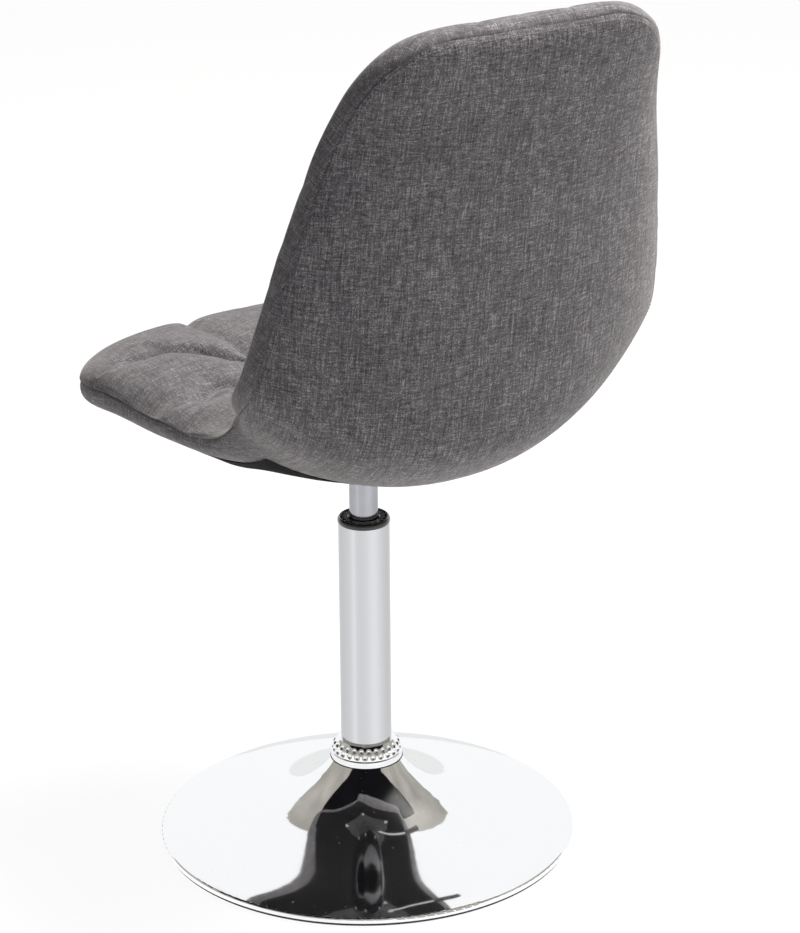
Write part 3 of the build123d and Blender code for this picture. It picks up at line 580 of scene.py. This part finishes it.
def bonded_cloth(name):
    """Thin black non-woven cloth with its grid of pressed bonding points."""
    look = Look(name)
    parts = look.node("ShaderNodeSeparateXYZ")
    look.put(parts.inputs[0], look.at("UV"))
    step = math.pi / 1.1
    u, v = parts.outputs[0], parts.outputs[1]
    a = look.sum("SINE", look.sum("MULTIPLY", look.sum("ADD", u, v), step))
    b = look.sum("SINE", look.sum("MULTIPLY", look.sum("SUBTRACT", u, v), step))
    dots = look.sum("MULTIPLY", look.sum("ABSOLUTE", a), look.sum("ABSOLUTE", b))
    fibres = look.noise(look.at("UV"), 0.7, 6.0, 0.75, 0.6)
    look.bump(look.sum("ADD", look.sum("MULTIPLY", dots, 0.6), fibres), 0.2, 0.6)
    shade = look.sum("ADD", look.sum("MULTIPLY", fibres, 0.8), look.sum("MULTIPLY", dots, 0.15))
    colour = look.ramp(shade, (0.3, (0.004, 0.004, 0.0045)), (0.75, (0.014, 0.014, 0.015)))
    return look.set(colour=colour, rough=0.85, specular=0.12)


def foam_look(name):
    """Pale open-cell foam."""
    look = Look(name)
    cells = look.node("ShaderNodeTexVoronoi", {"Vector": look.at(), "Scale": 0.9})
    tone = look.noise(look.at(), 0.02, 3.0)
    look.bump(cells.outputs["Distance"], 0.5, 0.8)
    return look.set(colour=look.ramp(tone, (0.3, (0.72, 0.66, 0.45)), (0.7, (0.83, 0.79, 0.6))), rough=0.95)


def ply_look(name):
    """Bent plywood: veneers run along the shell."""
    look = Look(name)
    grain = look.noise(look.at(scale=(1.0, 0.06, 0.06)), 0.35, 6.0, 0.62, 0.8)
    pores = look.noise(look.at(scale=(1.0, 0.03, 0.03)), 2.4, 3.0, 0.6)
    shade = look.sum("ADD", look.sum("MULTIPLY", grain, 0.75), look.sum("MULTIPLY", pores, 0.25))
    look.bump(pores, 0.08, 0.5)
    colour = look.ramp(shade, (0.3, (0.36, 0.22, 0.1)), (0.55, (0.55, 0.37, 0.2)), (0.75, (0.68, 0.5, 0.3)))
    return look.set(colour=colour, rough=0.6)


FABRIC_SHADES = (0.022, 0.0205, 0.024), (0.086, 0.081, 0.089), (0.27, 0.257, 0.268)
looks = {
    "chrome": chrome("chrome"),
    # the column tube's plate is the dish's chrome made darker: painted shade for the dimmer surroundings it
    # mirrors
    "shaded_tube_chrome": chrome("shaded_tube_chrome", (0.615, 0.622, 0.64), 0.07),
    "satin_steel": steel("satin_steel", (0.4, 0.41, 0.44), 0.13, (1, 1, 0.03), 0.12, 0.03),
    "lever_steel": steel("lever_steel", (0.66, 0.67, 0.68), 0.18, (0.05, 1, 1), 0.08, 0.03),
    "bearing_steel": steel("bearing_steel", (0.6, 0.61, 0.62), 0.14, (1, 1, 1), 0.06, 0.02),
    "raw_steel": steel("raw_steel", (0.36, 0.36, 0.37), 0.42, (1, 1, 1), 0.2, 0.08),
    "black_steel": painted("black_steel", (0.02, 0.02, 0.021), 0.42),
    "zinc_steel": steel("zinc_steel", (0.58, 0.59, 0.6), 0.32, (1, 1, 1), 0.18, 0.06),
    "ballast_iron": steel("ballast_iron", (0.2, 0.2, 0.205), 0.6, (1, 1, 1), 0.25, 0.25),
    "piston_alloy": steel("piston_alloy", (0.7, 0.7, 0.69), 0.28, (1, 1, 1), 0.1, 0.04),
    "pad_rubber": plastic("pad_rubber", (0.018, 0.018, 0.019), 0.7, 0.15, 1.1),
    "bumper_rubber": plastic("bumper_rubber", (0.015, 0.015, 0.016), 0.6, 0.1, 1.4),
    "cap_plastic": plastic("cap_plastic", (0.009, 0.009, 0.01), 0.22, 0.02, 1.8, 0.6),
    "bush_plastic": plastic("bush_plastic", (0.55, 0.55, 0.53), 0.45, 0.05),
    "grip_plastic": plastic("grip_plastic", (0.014, 0.014, 0.015), 0.4, 0.12, 1.2),
    "core_wood": ply_look("core_wood"),
    "pad_foam": foam_look("pad_foam"),
    "seat_fabric": linen("seat_fabric", *FABRIC_SHADES, 0.44),
    "back_fabric": linen("back_fabric", *FABRIC_SHADES, 0.32, flip=True),
    "dust_cloth": bonded_cloth("dust_cloth"),
    "thread": plastic("stitch_thread", (0.16, 0.155, 0.16), 0.8, 0.15, 3.0),
}

for entry in frame["record"]["subparts"]:
    mesh = frame["nodes"][entry["node"]].data
    mesh.materials.clear()
    # the column tube takes the darker chrome, with its painted shade
    key = "shaded_tube_chrome" if entry["node"] == "column_tube" else entry["material_slot"]
    mesh.materials.append(looks[key])


def dressed(obj, look):
    """Gives a piece of the seat its look and lets it move with the seat."""
    obj.data.materials.clear()
    obj.data.materials.append(looks[look])
    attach(obj, "seat")


# ---------------------------------------------------------------- quilted front cover
def front_shares():
    """Shares of the half width at which the front cover's columns lie, and the long seam's place among them."""
    middle = spread(7, 0, LONG_SEAM)
    side = spread(22, LONG_SEAM, 1.0, both=False)
    half = np.concatenate([middle[:-1], side])
    return np.concatenate([-half[:0:-1], half]), len(middle) - 1


FRONT_SHARES, SEAM_COLUMN = front_shares()
STRIPS = [24, 15, 34, 19, 19, 19, 17]       # rows of faces between one cross seam and the next
EDGE_PULL_FRONT, EDGE_PULL_REAR = 1.4, 1.2  # how far the edge seam draws the two covers in
RIM_STEPS = [0.1, 0.2, 0.3, 0.4, 0.5, 0.6, 0.7, 0.8, 0.88, 0.95, 1.0]
# how deep the stitching draws the sheet in along its seams, and over what distance
LONG_DEPTH, CROSS_DEPTH, VALLEY_WIDTH = 8.5, 9.0, 6.5
SEAM_STOP = 0.88          # the cross seams end at this share of the half width
PUFF = 12.0               # most that the padding swells out, in millimetres
cover = Cover(1, FRONT_SHARES, STRIPS, CROSS_SEAMS, RIM_STEPS, EDGE_PULL_FRONT)


def quilting(cover):
    """How far the stitching draws the sheet in at every vertex, in millimetres."""
    share = np.tile(np.abs(FRONT_SHARES), (cover.rows, 1))
    reach = np.abs(cover.x[:, -1])[:, None]
    valley = LONG_DEPTH * np.exp(-np.abs(share - LONG_SEAM) * reach / VALLEY_WIDTH)
    run_out = 1 - ramp(share, 0.8, 0.98)
    for row in cover.seam_rows:
        away = np.abs(cover.s - cover.s[row][None, :]) * 0.9
        valley = np.maximum(valley, CROSS_DEPTH * run_out * np.exp(-away / VALLEY_WIDTH))
    near_end = (0.35 + 0.65 * ramp(cover.s, 0, 40)) * ramp(LENGTH - cover.s, 25, 90)
    sink = np.zeros(len(cover.co))
    sink[cover.index.reshape(-1)] = (valley * near_end).reshape(-1)
    edge = sink[cover.loops[0]]
    for e, ring in zip(RIM_STEPS, cover.loops[1:]):
        sink[ring] = edge * max(1 - e / 0.8, 0) ** 1.2
    return sink


def puff(cover):
    """Most that the padding may swell at every vertex: full on the seat, flatter up the back."""
    cap = np.full(len(cover.co), PUFF)
    share = np.tile(np.abs(FRONT_SHARES), (cover.rows, 1))
    up_back = ramp(cover.s, 320, 460)
    cap[cover.index.reshape(-1)] = (PUFF - up_back * (5.0 + 6.0 * ramp(share, 0.6, 1.0))).reshape(-1)
    for ring in cover.loops[1:]:
        cap[ring] = cap[cover.loops[0]]
    return cap


cover.co -= cover.normals() * quilting(cover)[:, None] * MM
quilt = mesh_object("quilted_upholstery", cover.co, cover.faces, cover.uv)
middle_col = len(FRONT_SHARES) // 2
long_cols = [middle_col - SEAM_COLUMN, middle_col + SEAM_COLUMN]
pins = set(cover.index[:, long_cols][LENGTH - cover.s[:, long_cols] > 60].tolist())
for row in cover.seam_rows:
    pins |= set(cover.index[row, np.abs(FRONT_SHARES) < SEAM_STOP].tolist())
for ring in cover.loops[-3:]:
    pins |= set(ring.tolist())
inflate(quilt, sorted(pins), pressure=5.0, cap=puff(cover), growth=0.01)
subdivide(quilt)
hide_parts("quilted_cover")
dressed(quilt, "seat_fabric")

# ---------------------------------------------------------------- plain rear cover
REAR_SHARES = np.linspace(-1, 1, 61)
rear = Cover(-1, REAR_SHARES, [130], [], RIM_STEPS, EDGE_PULL_REAR)
rear_obj = mesh_object("rear_upholstery", rear.co, rear.faces, rear.uv)
subdivide(rear_obj)
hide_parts("rear_cover")
dressed(rear_obj, "back_fabric")


# ---------------------------------------------------------------- stitching along the back's edge seam
STITCH_FROM = 352.0       # the stitches start here along the shell, where the back begins
STITCH_INSET, STITCH_PITCH, STITCH_LENGTH = SEAM_WAY_IN + 3.6, 4.3, 3.1


def rear_line(inset):
    """Points every millimetre on the rear cover, up one side, round the top and down the other."""
    rise = OUTLINE[:, 0] > STITCH_FROM
    flat = OUTLINE[rise] + INWARD[rise] * inset
    flat = np.concatenate([flat, flat[-2::-1] * (1, -1)])
    s, x = np.clip(flat[:, 0], 0, LENGTH), flat[:, 1]
    return placed(s, x, depth_of(s, x, -1)) / MM


def stitching():
    """Row of short rounded stitches beside the edge seam."""
    line = rear_line(STITCH_INSET)
    normal = np.cross(rear_line(STITCH_INSET + 2) - line, np.gradient(line, axis=0))
    normal /= np.linalg.norm(normal, axis=1)[:, None]
    length = np.concatenate([[0], np.cumsum(np.linalg.norm(np.diff(line, axis=0), axis=1))])
    share = np.array([0.0, 0.12, 0.5, 0.88, 1.0])
    radius, lift = np.array([0.12, 0.32, 0.38, 0.32, 0.12]), np.array([-0.3, 0.05, 0.2, 0.05, -0.3])
    turn = np.linspace(0, 2 * math.pi, 6, endpoint=False)
    co, faces = [], []
    for start in np.arange(2.0, length[-1] - 5, STITCH_PITCH):
        at = start + share * STITCH_LENGTH
        centre = np.stack([np.interp(at, length, line[:, k]) for k in range(3)], -1)
        out = np.stack([np.interp(at, length, normal[:, k]) for k in range(3)], -1)
        side = np.cross(out, centre[-1] - centre[0])
        side /= np.linalg.norm(side, axis=1)[:, None]
        first = len(co) * 6
        for k in range(len(share)):
            middle = centre[k] + out[k] * lift[k]
            circle = np.cos(turn)[:, None] * out[k] + np.sin(turn)[:, None] * side[k]
            co.append(middle + radius[k] * circle)
        for k in range(len(share) - 1):
            a = first + k * 6
            faces += [(a + i, a + (i + 1) % 6, a + 6 + (i + 1) % 6, a + 6 + i) for i in range(6)]
        faces.append(tuple(first + i for i in range(5, -1, -1)))
        faces.append(tuple(first + 24 + i for i in range(6)))
    return np.concatenate(co) * MM, faces


stitches = mesh_object("edge_stitching", *stitching())
dressed(stitches, "thread")


# ---------------------------------------------------------------- foam under the quilted cover
def foam():
    """Block between the covers, a little smaller than both."""
    s = np.linspace(17, LENGTH - 17, 90)[:, None] + np.zeros((1, 49))
    x = np.linspace(-1, 1, 49)[None, :] * (width(s) - 15.5)
    low = depth_of(s, x, -1) + 13.1
    high = np.maximum(depth_of(s, x, 1) - 16.5, low + 1.5)
    index = np.arange(s.size).reshape(s.shape)
    loop = grid_edge(index)
    ring = np.stack([loop, np.roll(loop, -1)], -1)
    sheet = grid_faces(index)
    walls = np.concatenate([ring[:, ::-1], ring + s.size], 1)
    co = np.concatenate([placed(s, x, high).reshape(-1, 3), placed(s, x, low).reshape(-1, 3)])
    return co, np.concatenate([sheet, sheet[:, ::-1] + s.size, walls])


foam_obj = mesh_object("foam_padding", *foam())
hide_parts("foam_pad")
dressed(foam_obj, "pad_foam")


# ---------------------------------------------------------------- cloth under the seat
CLOTH_FROM, CLOTH_TO, CLOTH_INSET = 48, 372, 23


def underside():
    """Tight along its hem, hanging a little between, as rows of (distance, x, depth)."""
    s = np.linspace(CLOTH_FROM, CLOTH_TO, 82)[:, None] + np.zeros((1, 73))
    side = width(s) - CLOTH_INSET
    x = np.linspace(-1, 1, 73)[None, :] * side
    hang = 1.2 + 2.8 * (np.abs(x) / side) ** 2
    hem = ramp(side - np.abs(x), 0, 12) * ramp(s - CLOTH_FROM, 0, 14) * ramp(CLOTH_TO - s, 0, 16)
    ripple = np.sin(x / 17 + s / 23) * 0.5 + np.sin(s / 11 - x / 29) * 0.4
    return s, x, depth_of(s, x, -1) - 1.1 - (hang + ripple) * hem


ds, dx, dn = underside()
index = np.arange(ds.size).reshape(ds.shape)
dust_faces = np.stack([index[:-1, :-1], index[1:, :-1], index[1:, 1:], index[:-1, 1:]], -1).reshape(-1, 4)
dust_uv = np.stack([dx, ds], -1).reshape(-1, 2)
dust = mesh_object("underseat_cloth", placed(ds, dx, dn).reshape(-1, 3), dust_faces, dust_uv)
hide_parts("dust_cover")
dressed(dust, "dust_cloth")

# ---------------------------------------------------------------- floor, light and camera
def camera():
    """The photo's camera, found from its ellipses and outline: place, heading, small turns and lens."""
    heading = math.radians(31.7)
    yaw, pitch, roll = 0.0161, 0.3699, -0.0076
    forward = Vector((math.sin(yaw), math.cos(yaw), 0))
    right = Vector((math.cos(yaw), -math.sin(yaw), 0))
    up = Vector((0, 0, 1))
    aim = forward * math.cos(pitch) - up * math.sin(pitch)
    lift = up * math.cos(pitch) + forward * math.sin(pitch)
    r = right * math.cos(roll) + lift * math.sin(roll)
    u = lift * math.cos(roll) - right * math.sin(roll)

    def row(v):
        return Vector((-v.x * math.cos(heading) - v.y * math.sin(heading),
                       v.x * math.sin(heading) - v.y * math.cos(heading), v.z))

    data = bpy.data.cameras.new("camera")
    data.sensor_fit = "AUTO"
    data.sensor_width = 36
    data.lens = 131.2
    made = bpy.data.objects.new("camera", data)
    scene.collection.objects.link(made)
    basis = Matrix([row(r), row(u), -row(aim)]).transposed()
    made.matrix_world = Matrix.Translation(Vector((1.6119, 2.5839, 1.5676))) @ basis.to_4x4()
    scene.camera = made


def lamp(name, place, target, size, power, colour):
    """Rectangular soft box at a place, turned to its target."""
    data = bpy.data.lights.new(name, "AREA")
    data.shape = "RECTANGLE"
    data.size, data.size_y = size
    data.energy = power
    data.color = colour
    made = bpy.data.objects.new(name, data)
    scene.collection.objects.link(made)
    made.location = place
    made.rotation_mode = "QUATERNION"
    made.rotation_quaternion = (Vector(target) - Vector(place)).to_track_quat("-Z", "Y")


def backdrop_mix(tree, share):
    """Mix factor: this share for camera, mirror and glass rays, and none for all other rays."""
    path = tree.nodes.new("ShaderNodeLightPath")
    most = tree.nodes.new("ShaderNodeMath")
    most.operation = "MAXIMUM"
    tree.links.new(path.outputs["Is Camera Ray"], most.inputs[0])
    tree.links.new(path.outputs["Is Glossy Ray"], most.inputs[1])
    more = tree.nodes.new("ShaderNodeMath")
    more.operation = "MAXIMUM"
    tree.links.new(most.outputs[0], more.inputs[0])
    tree.links.new(path.outputs["Is Transmission Ray"], more.inputs[1])
    scaled = tree.nodes.new("ShaderNodeMath")
    scaled.operation = "MULTIPLY"
    tree.links.new(more.outputs[0], scaled.inputs[0])
    scaled.inputs[1].default_value = share
    return scaled.outputs[0]


FLOOR_GLOW = 0.27        # light that the studio floor around the chair gives back


def floor():
    """Round pale floor, brighter to the camera than to the chair."""
    ring_r = [0.6, 1.5, 4.0, 14.0]
    count = 64
    turn = [2 * math.pi * i / count for i in range(count)]
    co = [(0, 0, 0)]
    for r in ring_r:
        co += [(r * math.cos(a), r * math.sin(a), 0) for a in turn]
    faces = [(0, 1 + i, 1 + (i + 1) % count) for i in range(count)]
    for k in range(len(ring_r) - 1):
        a, b = 1 + k * count, 1 + (k + 1) * count
        faces += [(a + i, b + i, b + (i + 1) % count, a + (i + 1) % count) for i in range(count)]
    made = mesh_object("floor", co, faces)
    look = Look("floor")
    tone = look.noise(look.at(), 0.0015, 2.0)
    look.set(colour=look.ramp(tone, (0.3, (0.86, 0.86, 0.86)), (0.7, (0.88, 0.88, 0.88))), rough=0.75)
    tree = look.tree
    glow = tree.nodes.new("ShaderNodeEmission")
    glow.inputs["Color"].default_value = (1, 1, 1, 1)
    mixed = tree.nodes.new("ShaderNodeMixShader")
    tree.links.new(backdrop_mix(tree, 0.9), mixed.inputs[0])
    look.set(glow=FLOOR_GLOW)
    look.shader.inputs["Emission Color"].default_value = (1.0, 0.985, 0.96, 1)
    tree.links.new(look.shader.outputs[0], mixed.inputs[1])
    tree.links.new(glow.outputs[0], mixed.inputs[2])
    tree.links.new(mixed.outputs[0], tree.nodes["Material Output"].inputs["Surface"])
    made.data.materials.append(look.material)
    made.location.z = -0.0005


def world(level):
    """Soft fill light at this level on the chair, and a white background."""
    made = bpy.data.worlds.new("world")
    made.use_nodes = True
    scene.world = made
    tree = made.node_tree
    dim, bright = tree.nodes["Background"], tree.nodes.new("ShaderNodeBackground")
    dim.inputs["Color"].default_value = (0.97, 0.955, 1.0, 1)
    dim.inputs["Strength"].default_value = level
    bright.inputs["Color"].default_value = (1, 1, 1, 1)
    bright.inputs["Strength"].default_value = 1.0
    mixed = tree.nodes.new("ShaderNodeMixShader")
    tree.links.new(backdrop_mix(tree, 1.0), mixed.inputs[0])
    tree.links.new(dim.outputs[0], mixed.inputs[1])
    tree.links.new(bright.outputs[0], mixed.inputs[2])
    tree.links.new(mixed.outputs[0], tree.nodes["World Output"].inputs["Surface"])


camera()
floor()
world(0.26)
lamp("overhead", (-1.0, 0.25, 2.5), (0, 0, 0.5), (1.6, 1.4), 176, (1.0, 0.975, 0.93))
lamp("side", (-2.2, 2.2, 1.2), (0, 0, 0.55), (1.4, 1.8), 14, (0.96, 0.95, 1.0))


def only_in_mirrors(obj, look):
    """Painted reflection: a glowing part of the studio round the picture, seen in the plated metal alone."""
    obj.data.materials.append(look.material)
    obj.visible_camera = obj.visible_diffuse = obj.visible_shadow = obj.visible_transmission = False


def painted_reflection_card(name, reach, low, high, half, colour):
    """Curved glowing screen on the camera's side, a painted reflection: up from low(turn) to high, and half as
    far round each way.
    """
    rows, cols = 25, 61
    rise = np.linspace(0, 1, rows)[:, None]
    turn = np.linspace(-1, 1, cols)[None, :]
    el = np.radians(low(turn) + (high - low(turn)) * rise)
    az = np.radians(CAMERA_SIDE + half * turn + 0 * rise)
    co = reach * np.stack([np.cos(el) * np.sin(az), np.cos(el) * np.cos(az), np.sin(el)], -1)
    index = np.arange(rows * cols).reshape(rows, cols)
    made = mesh_object(name, co.reshape(-1, 3), grid_faces(index))
    look = Look(name)
    tone = look.noise(look.at(), 0.0012, 2.0)
    shade = look.ramp(tone, (0.3, tuple(c * 0.8 for c in colour)), (0.7, tuple(c * 1.2 for c in colour)))
    look.put(look.shader.inputs["Emission Color"], shade)
    look.set(colour=(0, 0, 0), rough=1.0, specular=0.0, glow=1.0)
    only_in_mirrors(made, look)


CAMERA_SIDE = 32          # direction of the camera from the chair, in degrees from +Y towards +X
# painted reflections in the plated metal: a beige glowing card low and round the sides, a near-black one higher
# up
painted_reflection_card("beige_reflection_card", 2.6, lambda turn: 9 + 30 * np.clip(np.abs(turn) - 0.8, 0, 1) * 5, 89, 147,
            (0.42, 0.395, 0.36))
painted_reflection_card("dark_reflection_card", 2.4, lambda turn: 38 + 19 * np.abs(turn) ** 1.5, 89, 125, (0.006, 0.006, 0.007))


BRIGHTEST = 1.25
# direction, spread and strength of two painted pools of light on the floor ring that only the plated parts
# mirror
NARROW_POOL, WIDE_POOL = (-50, 12, 0.2), (40, 30, 0.2)


def floor_light(angle):
    """Painted brightness of the floor ring by direction from the camera's side, in degrees: two pools of painted
    light, dim behind.
    """
    level = 1.0 - 0.15 * ramp(abs(angle), 60, 140)
    for middle, spread_by, strength in (NARROW_POOL, WIDE_POOL):
        level = level + strength * math.exp(-((angle - middle) / spread_by) ** 2)
    return level


def floor_reflections():
    """Painted reflection: a glowing ring with painted lit and shaded parts of the studio floor, seen only in the
    upright plated parts as soft vertical bands.
    """
    count, reach = 180, (0.206, 2.3)
    turn = np.linspace(0, 2 * math.pi, count, endpoint=False)
    co = np.concatenate([np.stack([r * np.cos(turn), r * np.sin(turn), 0 * turn + 0.002], -1) for r in reach])
    step = np.arange(count)
    faces = np.stack([step, step + count, (step + 1) % count + count, (step + 1) % count], -1)
    made = mesh_object("floor_reflections", co, faces)
    look = Look("floor_reflections")
    spin = look.node("ShaderNodeMapping", {"Vector": look.at()}, vector_type="POINT")
    spin.inputs["Rotation"].default_value = (0, 0, math.radians(CAMERA_SIDE - 90))
    gradient = look.node("ShaderNodeTexGradient", {"Vector": spin.outputs[0]}, gradient_type="RADIAL")
    around = gradient.outputs["Fac"]
    angles = range(-180, 181, 12)
    shade = look.ramp(around, *[((a + 180) / 360, float(floor_light(a)) / BRIGHTEST) for a in angles])
    look.put(look.shader.inputs["Emission Color"], shade)
    look.set(colour=(0, 0, 0), rough=1.0, specular=0.0, glow=BRIGHTEST)
    only_in_mirrors(made, look)


floor_reflections()

scene.view_settings.view_transform = "Standard"
